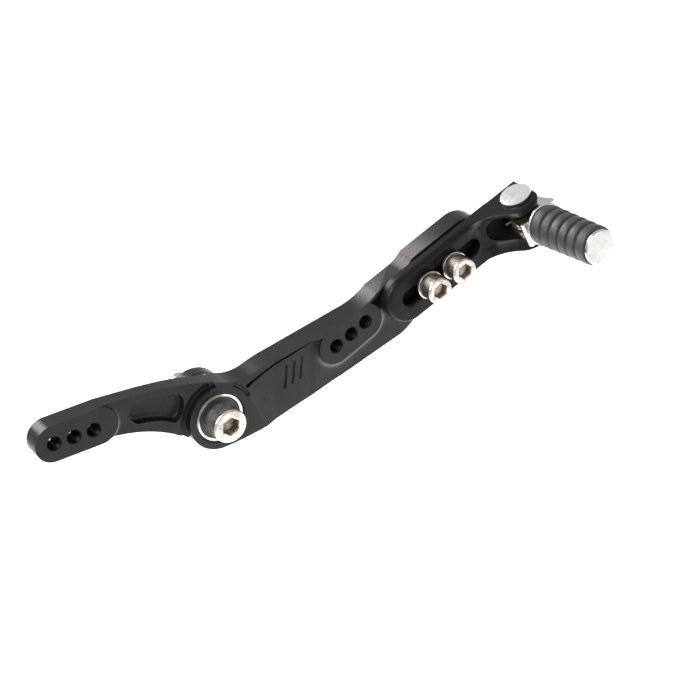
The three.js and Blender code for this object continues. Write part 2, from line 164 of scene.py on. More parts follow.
def loft(rings, name="cutter"):
    """Closed solid through rings that all have the same number of points."""
    bm = bmesh.new()
    layers = [[bm.verts.new(p) for p in ring] for ring in rings]
    count = len(layers[0])
    for below, above in zip(layers, layers[1:]):
        for i in range(count):
            j = (i + 1) % count
            bm.faces.new((below[i], below[j], above[j], above[i]))
    bm.faces.new(layers[0])
    bm.faces.new(list(reversed(layers[-1])))
    return new_object(name, bm)


def prism(outline, front, back, plane="XZ", name="cutter",
          round_front=0.0, round_back=0.0, segments=5):
    """Straight solid on an outline; the edges of either end can be rounded."""
    bm = bmesh.new()
    outline = tidy(outline)
    ends = []
    for depth in (front, back):
        if plane == "XZ":
            ends.append([bm.verts.new((x, depth, z)) for x, z in outline])
        else:
            ends.append([bm.verts.new((x, y, depth)) for x, y in outline])
    count = len(outline)
    for i in range(count):
        j = (i + 1) % count
        bm.faces.new((ends[0][i], ends[0][j], ends[1][j], ends[1][i]))
    caps = [bm.faces.new(ends[0]), bm.faces.new(list(reversed(ends[1])))]
    bmesh.ops.recalc_face_normals(bm, faces=bm.faces)
    for cap, radius in zip(caps, (round_front, round_back)):
        if radius:
            bmesh.ops.bevel(bm, geom=list(cap.edges), offset=radius, segments=segments,
                            profile=0.5, affect="EDGES", clamp_overlap=True)
    return new_object(name, bm)


def obround_loft(start, end, stations, name="cutter"):
    """Obround solid whose radius, and height if given, change with depth: (y, radius[, lift])."""
    count = 30
    heading = math.atan2(end[1] - start[1], end[0] - start[0])
    rings = []
    for y, radius, *lift in stations:
        ring = []
        for centre, first in ((start, heading + math.pi / 2), (end, heading - math.pi / 2)):
            for i in range(count + 1):
                angle = first + math.pi * i / count
                ring.append((centre[0] + radius * math.cos(angle), y,
                             centre[1] + radius * math.sin(angle) + sum(lift)))
        rings.append(ring)
    return loft(rings, name)


def turned(stations, name, segments=ROUND, axis="Y", centre=(0, 0), ring=False):
    """Solid of revolution; stations are (depth, radius), radius a number or a function of angle.

    A ring closes on itself, and otherwise both ends close on the axis.
    """
    bm = bmesh.new()
    layers = []
    for depth, radius in stations:
        layer = []
        for i in range(segments):
            angle = TAU * i / segments
            r = radius(angle) if callable(radius) else radius
            u = centre[0] + r * math.cos(angle)
            v = centre[1] + r * math.sin(angle)
            layer.append(bm.verts.new((u, depth, v) if axis == "Y" else (u, v, depth)))
        layers.append(layer)
    pairs = list(zip(layers, layers[1:]))
    if ring:
        pairs.append((layers[-1], layers[0]))
    for below, above in pairs:
        for i in range(segments):
            j = (i + 1) % segments
            bm.faces.new((below[i], below[j], above[j], above[i]))
    if not ring:
        bm.faces.new(layers[0])
        bm.faces.new(list(reversed(layers[-1])))
    return new_object(name, bm)


def combine(target, other, operation="DIFFERENCE"):
    """Boolean of two solids; the second one is used up."""
    step = target.modifiers.new("cut", "BOOLEAN")
    step.operation = operation
    step.object = other
    step.solver = "EXACT"
    graph = bpy.context.evaluated_depsgraph_get()
    mesh = bpy.data.meshes.new_from_object(target.evaluated_get(graph))
    target.modifiers.clear()
    old = target.data
    target.data = mesh
    bpy.data.meshes.remove(old)
    bpy.data.objects.remove(other)
    return target


def clean(target, angle=0.4):
    """Merges split points and faces that lie in one plane."""
    bm = bmesh.new()
    bm.from_mesh(target.data)
    bmesh.ops.remove_doubles(bm, verts=bm.verts, dist=0.004 * MM)
    bmesh.ops.dissolve_limit(bm, angle_limit=math.radians(angle), verts=bm.verts, edges=bm.edges)
    bm.to_mesh(target.data)
    bm.free()
    return target


def smooth(target, angle=32):
    target.data.shade_smooth()
    target.data.set_sharp_from_angle(angle=math.radians(angle))
    return target


def soften(target, width, segments=3, angle=32):
    """Small machined edge break."""
    target.data.shade_smooth()
    edge = target.modifiers.new("edge_break", "BEVEL")
    edge.width = width * MM
    edge.segments = segments
    edge.limit_method = "ANGLE"
    edge.angle_limit = math.radians(angle)
    edge.use_clamp_overlap = True
    edge.harden_normals = True
    return target


def fit_out(piece, body, slot, material, *nodes):
    """Material, body and the CAD nodes that a finished piece stands for."""
    piece.data.materials.clear()
    piece.data.materials.append(material)
    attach(piece, body)
    if nodes:
        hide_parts(*nodes)
    return piece


# ---- materials -----------------------------------------------------------
class Nodes:
    """A Principled material and short calls to wire nodes into it."""

    def __init__(self, name, **sockets):
        self.material = bpy.data.materials.new(name)
        self.material.use_nodes = True
        self.tree = self.material.node_tree
        self.shader = self.tree.nodes["Principled BSDF"]
        for socket, value in sockets.items():
            self.shader.inputs[socket.replace("_", " ")].default_value = value
        self.place = self.tree.nodes.new("ShaderNodeTexCoord").outputs["Object"]

    def link(self, output, socket):
        self.tree.links.new(output, socket)

    def noise(self, scale, detail=4.0, stretch=(1, 1, 1)):
        """Noise in object space, scale in patches a metre."""
        mapping = self.tree.nodes.new("ShaderNodeMapping")
        mapping.inputs["Scale"].default_value = stretch
        self.link(self.place, mapping.inputs["Vector"])
        texture = self.tree.nodes.new("ShaderNodeTexNoise")
        texture.inputs["Scale"].default_value = scale
        texture.inputs["Detail"].default_value = detail
        self.link(mapping.outputs["Vector"], texture.inputs["Vector"])
        return texture.outputs["Fac"]

    def ramp(self, value, low, high, start=0.3, end=0.7):
        """Maps a 0..1 value between start and end to low..high."""
        node = self.tree.nodes.new("ShaderNodeMapRange")
        self.link(value, node.inputs["Value"])
        sockets = ("From Min", "From Max", "To Min", "To Max")
        for socket, number in zip(sockets, (start, end, low, high)):
            node.inputs[socket].default_value = number
        return node.outputs["Result"]

    def colours(self, value, stops):
        """Colour ramp; stops are (position, colour)."""
        node = self.tree.nodes.new("ShaderNodeValToRGB")
        elements = node.color_ramp.elements
        while len(elements) < len(stops):
            elements.new(0.5)
        for element, (position, colour) in zip(elements, stops):
            element.position = position
            element.color = (*colour, 1)
        self.link(value, node.inputs["Fac"])
        return node.outputs["Color"]

    def math(self, operation, a, b):
        node = self.tree.nodes.new("ShaderNodeMath")
        node.operation = operation
        for socket, value in zip(node.inputs, (a, b)):
            if isinstance(value, (int, float)):
                socket.default_value = value
            else:
                self.link(value, socket)
        return node.outputs["Value"]

    def edge_wear(self, width=0.0004):
        """1 along convex edges of this width, in metres, broken up by noise."""
        rounded = self.tree.nodes.new("ShaderNodeBevel")
        rounded.samples = 6
        rounded.inputs["Radius"].default_value = width
        geometry = self.tree.nodes.new("ShaderNodeNewGeometry")
        turn = self.tree.nodes.new("ShaderNodeVectorMath")
        turn.operation = "DOT_PRODUCT"
        self.link(rounded.outputs["Normal"], turn.inputs[0])
        self.link(geometry.outputs["Normal"], turn.inputs[1])
        edge = self.ramp(turn.outputs["Value"], 1, 0, 0.93, 0.995)
        convex = self.ramp(geometry.outputs["Pointiness"], 0, 1, 0.50, 0.56)
        broken = self.ramp(self.noise(900), 0.2, 1, 0.35, 0.65)
        return self.math("MULTIPLY", self.math("MULTIPLY", edge, convex), broken)

    def bump(self, height, strength, distance):
        node = self.tree.nodes.new("ShaderNodeBump")
        node.inputs["Strength"].default_value = strength
        node.inputs["Distance"].default_value = distance
        self.link(height, node.inputs["Height"])
        self.link(node.outputs["Normal"], self.shader.inputs["Normal"])


def black_anodised(name="black_anodised", depth=1.0, ior=1.29):
    """Satin black; depth scales the colour and ior sets how much light glances off."""
    made = Nodes(name, Metallic=0.0, IOR=ior)
    broad = made.noise(45, 3)
    wear = made.edge_wear()
    stops = (
        (0.2, (0.0066, 0.0062, 0.0062)),
        (0.62, (0.0105, 0.0098, 0.0100)),
        (0.95, (0.06, 0.056, 0.052)),
    )
    stops = [(at, tuple(depth * c for c in colour)) for at, colour in stops]
    patches = made.math("MULTIPLY", broad, 0.8)
    bare = made.math("MULTIPLY", wear, 0.25)
    shade = made.colours(made.math("ADD", patches, bare), stops)
    made.link(shade, made.shader.inputs["Base Color"])
    cutter_marks = made.noise(260, 2, (1, 14, 1))
    grain = made.noise(5200, 2)
    made.link(made.ramp(cutter_marks, 0.27, 0.40), made.shader.inputs["Roughness"])
    made.bump(made.math("ADD", made.math("MULTIPLY", cutter_marks, 0.5), grain), 0.14, 0.00004)
    return made.material


def bright_steel(name, colour, roughness, tint=(0.42, 0.36, 0.27)):
    """Turned or plated metal with stains of the tint's colour and fine tool lines."""
    made = Nodes(name, Metallic=1.0)
    stains = made.noise(420, 5)
    made.link(made.colours(stains, ((0.28, tint), (0.52, colour), (0.9, colour))),
              made.shader.inputs["Base Color"])
    lines = made.noise(900, 2, (1, 9, 1))
    made.link(made.ramp(lines, roughness * 0.75, roughness * 1.3), made.shader.inputs["Roughness"])
    made.bump(lines, 0.12, 0.00004)
    return made.material


def peg_rubber():
    made = Nodes("peg_rubber", IOR=1.5)
    dust = made.noise(700, 6)
    made.link(made.colours(dust, ((0.3, (0.016, 0.0145, 0.0145)), (0.7, (0.029, 0.026, 0.026)))),
              made.shader.inputs["Base Color"])
    made.link(made.ramp(made.noise(160), 0.42, 0.56), made.shader.inputs["Roughness"])
    made.bump(made.noise(3200, 3), 0.3, 0.00006)
    return made.material


def seal_rubber():
    made = Nodes("seal_rubber", IOR=1.5)
    film = made.noise(600, 4)
    made.link(made.colours(film, ((0.3, (0.016, 0.015, 0.015)), (0.75, (0.034, 0.032, 0.030)))),
              made.shader.inputs["Base Color"])
    made.link(made.ramp(film, 0.35, 0.55), made.shader.inputs["Roughness"])
    made.bump(made.noise(2400, 3), 0.2, 0.00004)
    return made.material


def floor_material():
    made = Nodes("floor_paper")
    made.link(made.colours(made.noise(6, 2), ((0.3, (0.90, 0.90, 0.90)), (0.7, (0.93, 0.93, 0.93)))),
              made.shader.inputs["Base Color"])
    made.link(made.ramp(made.noise(40), 0.85, 0.95), made.shader.inputs["Roughness"])
    return made.material


BLACK = black_anodised()
# Darker, less glossy copy of the black anodising for the sliding plate: painted shade over the plate.
SLIDER_SHADED_BLACK = black_anodised("black_anodised_slider_painted_shade", 0.7, 1.22)
# Darker copy that gives back almost no glancing light, for the walls of the linkage holes: painted
# shade inside the holes.
HOLE_SHADED_BLACK = black_anodised("black_anodised_hole_painted_shade", 0.9, 1.08)
ZINC = bright_steel("zinc_steel", (0.57, 0.556, 0.533), 0.26, (0.34, 0.29, 0.22))
# Darker copies of the zinc steel for the knurled sides of the screw heads: painted shade; the clamp
# screws' copy is darker still, for deeper painted shade.
KNURL_SHADED = bright_steel("zinc_steel_knurl_painted_shade", (0.34, 0.325, 0.31), 0.42, (0.15, 0.135, 0.115))
KNURL_DEEP_SHADED = bright_steel("zinc_steel_knurl_deep_painted_shade", (0.17, 0.155, 0.14), 0.42, (0.06, 0.05, 0.042))
# Darker, browner copy of the zinc steel for the hexagonal sockets: painted shade in the recess.
SOCKET_SHADED = bright_steel("zinc_steel_socket_painted_shade", (0.40, 0.335, 0.275), 0.38, (0.20, 0.155, 0.12))
RACE = bright_steel("bearing_steel", (0.58, 0.57, 0.56), 0.18, (0.40, 0.385, 0.36))
CAGE = bright_steel("cage_steel", (0.50, 0.48, 0.44), 0.34)
ALUMINIUM = bright_steel("polished_aluminium", (0.86, 0.85, 0.835), 0.2, (0.74, 0.73, 0.71))
# Darker copy of the polished aluminium for the toe peg: painted shade.
PEG_ALUMINIUM_SHADED = bright_steel("polished_aluminium_peg_painted_shade", (0.56, 0.553, 0.543), 0.2, (0.47, 0.463, 0.45))
SPRING = bright_steel("spring_steel", (0.56, 0.50, 0.38), 0.3)
RUBBER = peg_rubber()
SEAL = seal_rubber()


# ---- lever arm -----------------------------------------------------------
def hole_row():
    """The three linkage holes of the rear pad."""
    step = Vector((math.cos(REAR_PAD_SLOPE), math.sin(REAR_PAD_SLOPE))) * HOLE_PITCH
    return [(REAR_HOLE[0] + i * step.x, REAR_HOLE[1] + i * step.y) for i in range(3)]


REAR_HOLES = hole_row()
REAR_PAD = (REAR_HOLES[0], (-37.6, 29.9))


def rear_arm_outline():
    return [
        (-50.9, 42.5),
        *through([(-33.4, 35.9), (-16.8, 27.8), (-5.9, 21.6), (5.4, 13.5)]),
        (0, 0), (-13.2, 0),
        *bend((-13.2, 0), (-20.8, 15), (-38.5, 23.6), 20),
        (-56.3, 29.5),
    ]


def long_arm_outline():
    end_radius = 10.0
    return [
        (-2, 13), (5.4, 13.5),
        *bend((8.0, 11.4), (12.2, 7.2), (18.0, 6.7)),
        *bend((18.0, 6.7), (24, 6.5), (27.8, 5.6), 6),
        *bend((59.1, -0.1), (67, -2.0), (73.8, 0.2)),
        *bend((86, 0.2), (89.5, 0.5), (92.2, 2.1)),
        *arc((113.7, SLIDER_Z), end_radius, math.pi / 2, -math.pi / 2),
        *bend((90, SLIDER_Z - end_radius), (83.0, -22.8), (75.4, -23.4)),
        (48, -21.0),
        *bend((24, -17.7), (12, -16.8), (-3, -12)),
    ]


def pad_island(pad, top, depth, flare, steps, end):
    """Solid left standing as a raised pad; its side curves outwards towards the floor."""
    stations = [(-8, PAD_RADIUS), (top, PAD_RADIUS)]
    for i in range(1, steps + 1):
        angle = math.pi / 2 * i / steps
        stations.append((depth * 1.03 * math.sin(angle),
                         PAD_RADIUS + flare * (1 - math.cos(angle))))
    stations.append((end, PAD_RADIUS + flare))
    return obround_loft(*pad, stations)


def floor_cutter():
    """Milled floor of the long arm: shallow at the boss, deeper round the mid pad."""
    start, ramp_end, deep_start, deep_end, end = 13.0, 18.0, 34.0, 44.0, 95.0
    shallow, deep = 1.2, 2.1
    outline = [
        (start, 4.4), (20.0, 4.5), (27.6, 4.2), *bend((42.0, 1.7), (44.6, 1.3), (45.2, 0.0), 5),
        (50.0, -1.4), (60.0, -2.6), (67.0, -2.4), (74.0, -0.9), (79.0, -0.7), (79.0, -14.0),
        (92.0, -19.0), (92.0, -30), (start, -30),
    ]
    cutter = prism(outline, CUT_FRONT, 5)
    floor = ((start, 0.0), (ramp_end, shallow), (deep_start, shallow + 0.2), (deep_end, deep),
             (end, deep))
    below_floor = prism([*floor, (end, 8), (start - 1, 8), (start - 1, 0)], -40, 20, "XY")
    combine(cutter, below_floor)
    return combine(cutter, pad_island((MID_HOLES[0], MID_HOLES[2]), 0, deep, 3.6, 10, 4))


def seat_cutter():
    """Seat for the sliding plate."""
    margin = 0.7
    outline = obround((PLATE_LEFT, SLIDER_Z), (140, SLIDER_Z), SLIDER_HALF + margin)
    return prism(outline, CUT_FRONT, SEAT_Y)


def seat_top_cutter():
    """Clears the front of the arm above the sliding plate."""
    outline = [(86.0, -4.0), (86.0, 6.0), (140, 8), (140, -4.0)]
    return prism(outline, CUT_FRONT, SEAT_Y)


def web_cutter():
    """Shallow floor between the rear pad and the boss."""
    depth = 1.3
    outline = [(-38, 45), (-38, 15), (-16, -6), *arc((0, 0), BOSS_RADIUS + 0.4, 3.4, 1.2), (4, 45)]
    return combine(prism(outline, CUT_FRONT, depth), pad_island(REAR_PAD, -0.1, depth, 2.2, 8, 3))


def leaf_pocket():
    """Deep leaf-shaped pocket in the rear arm, beside the boss."""
    outline = [
        *bend((-25.6, 19.4), (-18.6, 15.8), (-14.8, 10.4)),
        *bend((-14.2, 9.9), (-11.4, 9.8), (-8.6, 13.4)),
        *bend((-8.0, 14.4), (-6.4, 17.4), (-9.6, 20.4)),
        *bend((-10.2, 21.0), (-14.6, 24.6), (-21.4, 27.2)),
        *bend((-22.6, 27.4), (-28.0, 27.4), (-26.6, 20.8)),
    ]
    return prism(outline, CUT_FRONT, 4.7, round_back=1.5, segments=6)


def crescent(inner, outer, depth, start, end):
    """Curved groove round the boss, from one angle to another."""
    middle, half = (inner + outer) / 2, (outer - inner) / 2

    def round_end(at, first, last):
        return arc((middle * math.cos(at), middle * math.sin(at)), half, first, last, 0.3)

    outline = (arc((0, 0), outer, start, end) + round_end(end, end, end + math.pi)
               + arc((0, 0), inner, end, start) + round_end(start, start + math.pi, start + TAU))
    return prism(outline, CUT_FRONT, depth, round_back=0.7)


def hole_cutter(x, z, radius, front=0.0, back=ARM_BACK, pitch=0.0):
    """Drilled hole with a small countersink on both faces, tapped if it has a pitch."""
    sink, past, steps_a_turn = 0.3, 3, 6
    stations = [(front - past, radius + sink + past), (front + sink, radius)]
    if pitch:
        steps = int((back - front - 2 * sink - 0.4) / pitch * steps_a_turn)
        for i in range(steps + 1):
            y = front + sink + 0.2 + i * pitch / steps_a_turn
            stations.append((y, thread(radius + 0.5 * pitch, 0.5 * pitch, y, pitch)))
    stations += [(back - sink, radius), (back + past, radius + sink + past)]
    return turned(stations, "cutter", 40, centre=(x, z))


def emblem_grooves():
    """Three plain slanting grooves on the floor of the long arm."""
    cutters = []
    for i in range(3):
        x = 26.4 + 3.4 * i
        cutters.append(obround_loft((x, -8.4 - 0.4 * i), (x + 4.4, -1.2 - 0.6 * i),
                                    ((-4, 0.6), (1.65, 0.6), (2.0, 0.25))))
    return cutters


def rim_groove():
    """Relief left by the cutter along the foot of the long arm's top rim."""
    cutters = []
    for start, end in (((14.6, 3.4), (27.6, 3.2)), ((27.6, 3.2), (42.6, 0.5))):
        cutters.append(obround_loft(start, end, ((-4, 0.75), (1.9, 0.75), (2.15, 0.5))))
    return cutters


def bearing_bore():
    """Stepped bore of the boss: a seat for each bearing and a shoulder between them."""
    seat = limits("front_outer_race")[1].x + 0.1
    shoulder_front = limits("front_outer_race")[1].y + 0.3
    shoulder_back = limits("rear_outer_race")[0].y - 0.3
    chamfer, past = 0.3, 3
    return turned((
        (-past, seat + chamfer + past), (chamfer, seat), (shoulder_front, seat),
        (shoulder_front, SHOULDER_RADIUS), (shoulder_back, SHOULDER_RADIUS), (shoulder_back, seat),
        (ARM_HIGH.y - chamfer, seat), (ARM_HIGH.y + past, seat + chamfer + past),
    ), "cutter")


def lever_arm():
    arm = prism(long_arm_outline(), 0, ARM_BACK, name="lever_arm_body")
    combine(arm, prism(rear_arm_outline(), 0, REAR_ARM_BACK), "UNION")
    combine(arm, prism(obround(*REAR_PAD, PAD_RADIUS), 0, REAR_ARM_BACK), "UNION")
    boss = ((0, BOSS_RADIUS), (ARM_BACK, BOSS_RADIUS), (ARM_BACK + 0.4, BOSS_BACK_RADIUS),
            (ARM_HIGH.y, BOSS_BACK_RADIUS))
    combine(arm, turned(boss, "cutter"), "UNION")
    cutters = [
        floor_cutter(), seat_cutter(), seat_top_cutter(), web_cutter(), leaf_pocket(),
        crescent(BOSS_RADIUS, BOSS_RADIUS + 3.2, 3.0, math.radians(84), math.radians(200)),
        crescent(BOSS_RADIUS, BOSS_RADIUS + 1.5, 0.9, math.radians(2), math.radians(36)),
        *emblem_grooves(), *rim_groove(), bearing_bore(),
    ]
    cutters += [hole_cutter(x, z, HOLE_RADIUS, 0, REAR_ARM_BACK, HOLE_THREAD) for x, z in REAR_HOLES]
    cutters += [hole_cutter(x, z, HOLE_RADIUS, 0, ARM_BACK, HOLE_THREAD) for x, z in MID_HOLES]
    for node in ("clamp_screw_1", "clamp_screw_2"):
        low, high = limits(node)
        cutters.append(hole_cutter((low.x + high.x) / 2, SLIDER_Z, CLAMP_HOLE, SEAT_Y))
    for cutter in cutters:
        combine(arm, cutter)
    clean(arm)
    fit_out(arm, "lever", "black_anodised", BLACK, "lever_arm")
    # The walls of the linkage holes get the darker hole copy of the black: painted shade inside the
    # holes.
    arm.data.materials.append(HOLE_SHADED_BLACK)
    reach = HOLE_RADIUS + 0.25
    axes = [Vector((x, 0, z)) for x, z in (*REAR_HOLES, *MID_HOLES)]
    for polygon in arm.data.polygons:
        place = polygon.center / MM
        place.y = 0
        on_wall = abs(polygon.normal.y) < 0.95
        if on_wall and any((place - axis).length < reach for axis in axes):
            polygon.material_index = 1
    return soften(arm, 0.35)


# ---- toe slider ----------------------------------------------------------
def clevis_outline():
    return [
        (111, PLATE_BACK), (141.6, PLATE_BACK),
        *bend((142, -12.2), (141.8, -17.9), (136, -17.9)),
        *bend((136, -17.9), (130.4, -17.9), (127.6, -14.3)),
        *bend((127.6, -14.3), (122.8, -6.4), (116.6, PLATE_FRONT + 0.02), 18),
        (111, PLATE_FRONT + 2.3),
    ]


def mouth_flare():
    """Rounds the front edges of both ears and the way into the mouth between them."""
    front = tidy([
        (142.6, -6.0), (142.3, -9.0),
        *bend((142, -12.2), (141.8, -17.9), (136, -17.9), 14),
        *bend((136, -17.9), (130.4, -17.9), (127.6, -14.3), 14),
        *bend((127.6, -14.3), (122.8, -6.4), (116.6, PLATE_FRONT), 22),
        (113.5, PLATE_FRONT), (111, PLATE_FRONT),
    ])
    outward = []
    for i in range(len(front)):
        ahead = front[min(i + 1, len(front) - 1)]
        behind = front[max(i - 1, 0)]
        run = Vector((ahead[0] - behind[0], ahead[1] - behind[1])).normalized()
        outward.append(Vector((-run.y, run.x)))
    at_ears, at_web = 1.6, 3.0
    depths = []
    for x, _ in front:
        depth = at_ears + (at_web - at_ears) * min(1.0, max(0.0, (131.0 - x) / 5.0))
        depths.append(depth * min(1.0, max(0.0, (x - 115.5) / 5.5)))
    mouth = SLIDER_HALF - EAR
    height = 3.9
    levels = []
    for i in range(9):
        t = i / 8
        levels.append((mouth - 0.1 + height * t ** 1.25, 1 - t))
    levels.append((mouth + height + 0.5, -0.25))
    rings = []
    for sign in (-1, 1):
        for reach, share in (reversed(levels) if sign < 0 else levels):
            z = SLIDER_Z + sign * reach
            ring = [(x - way.x * depth * share, y - way.y * depth * share, z)
                    for (x, y), way, depth in zip(front, outward, depths)]
            rings.append([*ring, (111, -32, z), (150, -32, z), (150, -6.0, z)])
    return loft(rings)


def toe_slider():
    """Slotted plate with a fork; its front is rounded more along the top edge than the bottom."""
    upper, lower = 2.3, 0.8
    stations = [(PLATE_BACK, SLIDER_HALF - 0.3), (PLATE_BACK - 0.3, SLIDER_HALF)]
    for i in range(15):
        depth = upper * (1 - math.sin(math.pi / 2 * i / 14))
        top, bottom = (size - math.sqrt(size ** 2 - max(0.0, size - depth) ** 2)
                       for size in (upper, lower))
        half = SLIDER_HALF - (top + bottom) / 2
        stations.append((PLATE_FRONT + depth, half, (bottom - top) / 2))
    body = obround_loft((PLATE_LEFT, SLIDER_Z), (126, SLIDER_Z), stations, "toe_slider_body")
    clevis = prism(clevis_outline(), SLIDER_LOW.z, SLIDER_HIGH.z, "XY",
                   round_front=0.9, round_back=0.9)
    combine(body, clevis, "UNION")
    mouth = SLIDER_HALF - EAR
    stations = ((-30, mouth), (-3.1, mouth), (-2.4, mouth - 0.25), (-2.2, mouth - 0.9))
    combine(body, obround_loft((MOUTH_LEFT + mouth, SLIDER_Z), (170, SLIDER_Z), stations))
    combine(body, mouth_flare())
    sink = 0.55
    stations = (
        (PLATE_FRONT - 2, SLOT_HALF + sink + 2), (PLATE_FRONT, SLOT_HALF + sink),
        (PLATE_FRONT + sink, SLOT_HALF), (PLATE_BACK - 0.3, SLOT_HALF),
        (PLATE_BACK + 2, SLOT_HALF + 2.3),
    )
    combine(body, obround_loft((SLOT_X[0], SLIDER_Z), (SLOT_X[1], SLIDER_Z), stations))
    bore = ((SLIDER_LOW.z - 1, HINGE_BORE), (SLIDER_HIGH.z + 1, HINGE_BORE))
    combine(body, turned(bore, "cutter", 40, "Z", (HINGE.x, HINGE.y)))
    soften(clean(body), 0.28)
    # The plate gets the darker, less glossy copy of the black: painted shade.
    return fit_out(body, "toe_piece", "black_anodised", SLIDER_SHADED_BLACK, "toe_slider")


# ---- screws, washers and turned parts ------------------------------------
def hexagon(across):
    """Radius of a hexagonal socket at an angle."""
    return lambda angle: across / 2 / math.cos((angle % (math.pi / 3)) - math.pi / 6)


def knurl(radius, row, teeth=56, depth=0.17):
    """Radius of a diamond knurl at an angle, on one of its rows."""
    def at(angle):
        phase = angle * teeth / TAU
        first = abs(((phase + row) % 1) - 0.5)
        second = abs(((phase - row) % 1) - 0.5)
        return radius - 2 * depth * (0.5 - max(first, second))
    return at


def thread(radius, depth, y, pitch):
    """Radius of a right-hand thread at an angle, at one depth along the screw."""
    def at(angle):
        phase = (y / pitch - angle / TAU) % 1
        return radius - depth * (1 - abs(2 * phase - 1))
    return at


def socket_screw(node, body, across, pitch, thread_from, height, shank, segments, side):
    """Socket cap screw: head of a height with a knurled side, hexagonal socket, threaded shank."""
    low, high = limits(node)
    centre = ((low.x + high.x) / 2, (low.z + high.z) / 2)
    head = (high.x - low.x) / 2
    face, seat, tip = low.y, low.y + height, high.y
    chamfer = head * 0.10
    floor = face + height * 0.5
    stations = [
        (floor + 0.6, 0.05), (floor, hexagon(across * 0.96)), (face + 0.35, hexagon(across)),
        (face + 0.02, lambda a: hexagon(across)(a) + 0.28),
        (face, lambda a: hexagon(across)(a) + 0.5),
        (face, head - chamfer - 0.25), (face + 0.06, head - chamfer), (face + chamfer, head - 0.08),
    ]
    rows, diamonds = 22, 5.5
    knurl_end = height - 0.9
    for i in range(rows + 1):
        y = face + chamfer + 0.15 + (knurl_end - chamfer) * i / rows
        stations.append((y, knurl(head, i * diamonds / rows)))
    stations += [
        (seat - 0.55, head - 0.1), (seat - 0.15, head - 0.12), (seat, head - 0.5),
        (seat, shank + 0.3), (seat + 0.3, shank), (thread_from, shank),
    ]
    steps_a_turn = 8
    steps = int((tip - 0.8 - thread_from) / pitch * steps_a_turn)
    for i in range(steps + 1):
        y = thread_from + i * pitch / steps_a_turn
        stations.append((y, thread(shank, pitch * 0.52, y, pitch)))
    stations += [(tip - 0.6, shank - pitch * 0.55), (tip, shank - pitch * 0.9)]
    screw = smooth(turned(stations, f"{node}_knurled", segments, centre=centre), 38)
    fit_out(screw, body, "zinc_steel", ZINC, node)
    # The knurled side gets a darker copy of the steel: painted shade.
    screw.data.materials.append(side)
    # The socket gets a darker, browner copy of the steel: painted shade in the recess.
    screw.data.materials.append(SOCKET_SHADED)
    axis = Vector((centre[0], 0, centre[1]))
    for polygon in screw.data.polygons:
        place = polygon.center / MM
        reach = (place - axis - Vector((0, place.y, 0))).length
        if face + 0.3 < place.y and reach < across * 0.62 and place.y < floor + 1:
            polygon.material_index = 2
        elif face + chamfer + 0.1 < place.y < seat - 0.6 and reach > head * 0.9:
            polygon.material_index = 1
    return screw


def ring_part(node, body, slot, material, inner):
    """Turned ring with chamfered corners, the size of its CAD node."""
    chamfer = 0.2
    low, high = limits(node)
    centre = ((low.x + high.x) / 2, (low.z + high.z) / 2)
    outer = (high.x - low.x) / 2
    stations = [
        (low.y, inner + chamfer), (low.y, outer - chamfer), (low.y + chamfer, outer),
        (high.y - chamfer, outer), (high.y, outer - chamfer), (high.y, inner + chamfer),
        (high.y - chamfer, inner), (low.y + chamfer, inner),
    ]
    part = smooth(turned(stations, f"{node}_ring", centre=centre, ring=True), 25)
    return fit_out(part, body, slot, material, node)


def bearing_race(node, body, wall, shoulder, groove):
    """Race with a ball track; the wall is its plain side and the shoulder the track's side."""
    low, high = limits(node)
    middle = (low.y + high.y) / 2
    half, edge, rim = 1.5, 0.3, 0.15
    sign = 1 if wall > shoulder else -1
    stations = [(low.y, shoulder + rim * sign), (low.y + rim, shoulder), (middle - half, shoulder)]
    for i in range(1, 8):
        angle = math.pi * i / 8
        stations.append((middle - half * math.cos(angle),
                         shoulder + (groove - shoulder) * math.sin(angle)))
    stations += [
        (middle + half, shoulder), (high.y - rim, shoulder), (high.y, shoulder + rim * sign),
        (high.y, wall - edge * sign), (high.y - edge, wall), (low.y + edge, wall),
        (low.y, wall - edge * sign),
    ]
    part = smooth(turned(stations, f"{node}_ring", ring=True), 25)
    fit_out(part, body, "bearing_steel", RACE, node)


def bearing(label, front_open):
    """Races, seal, cage and balls of one bearing."""
    for race, body in (("inner_race", "pivot_mount"), ("outer_race", "lever")):
        node = f"{label}_{race}"
        low, high = limits(node)
        outside = (high.x - low.x) / 2
        if race == "outer_race":
            bearing_race(node, body, outside, SHOULDER_RADIUS, 8.55)
        else:
            bearing_race(node, body, RACE_BORE, outside, 4.95)
    node = f"{label}_seal"
    low, high = limits(node)
    face = low.y if front_open else high.y
    inward = 1 if front_open else -1
    profile = ((0.0, 7.8), (0.0, 7.3), (0.22, 7.1), (0.22, 6.4), (0.05, 6.1), (0.05, 5.75),
               (0.6, 5.7), (0.6, 7.8))
    stations = [(face + inward * depth, radius) for depth, radius in profile]
    part = smooth(turned(stations, f"{node}_lip", ring=True), 25)
    fit_out(part, "lever", "seal_rubber", SEAL, node)
    for i in range(1, 8):
        node = f"{label}_ball_{i}"
        low, high = limits(node)
        bm = bmesh.new()
        bmesh.ops.create_icosphere(bm, subdivisions=3, radius=(high.y - low.y) / 2,
                                   matrix=Matrix.Translation((low + high) / 2))
        ball = smooth(new_object(f"{node}_sphere", bm), 60)
        fit_out(ball, f"{label}_balls", "bearing_steel", RACE, node)
    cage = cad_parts[f"{label}_cage"]
    cage.data.materials.clear()
    cage.data.materials.append(CAGE)
    soften(cage, 0.08, 2)


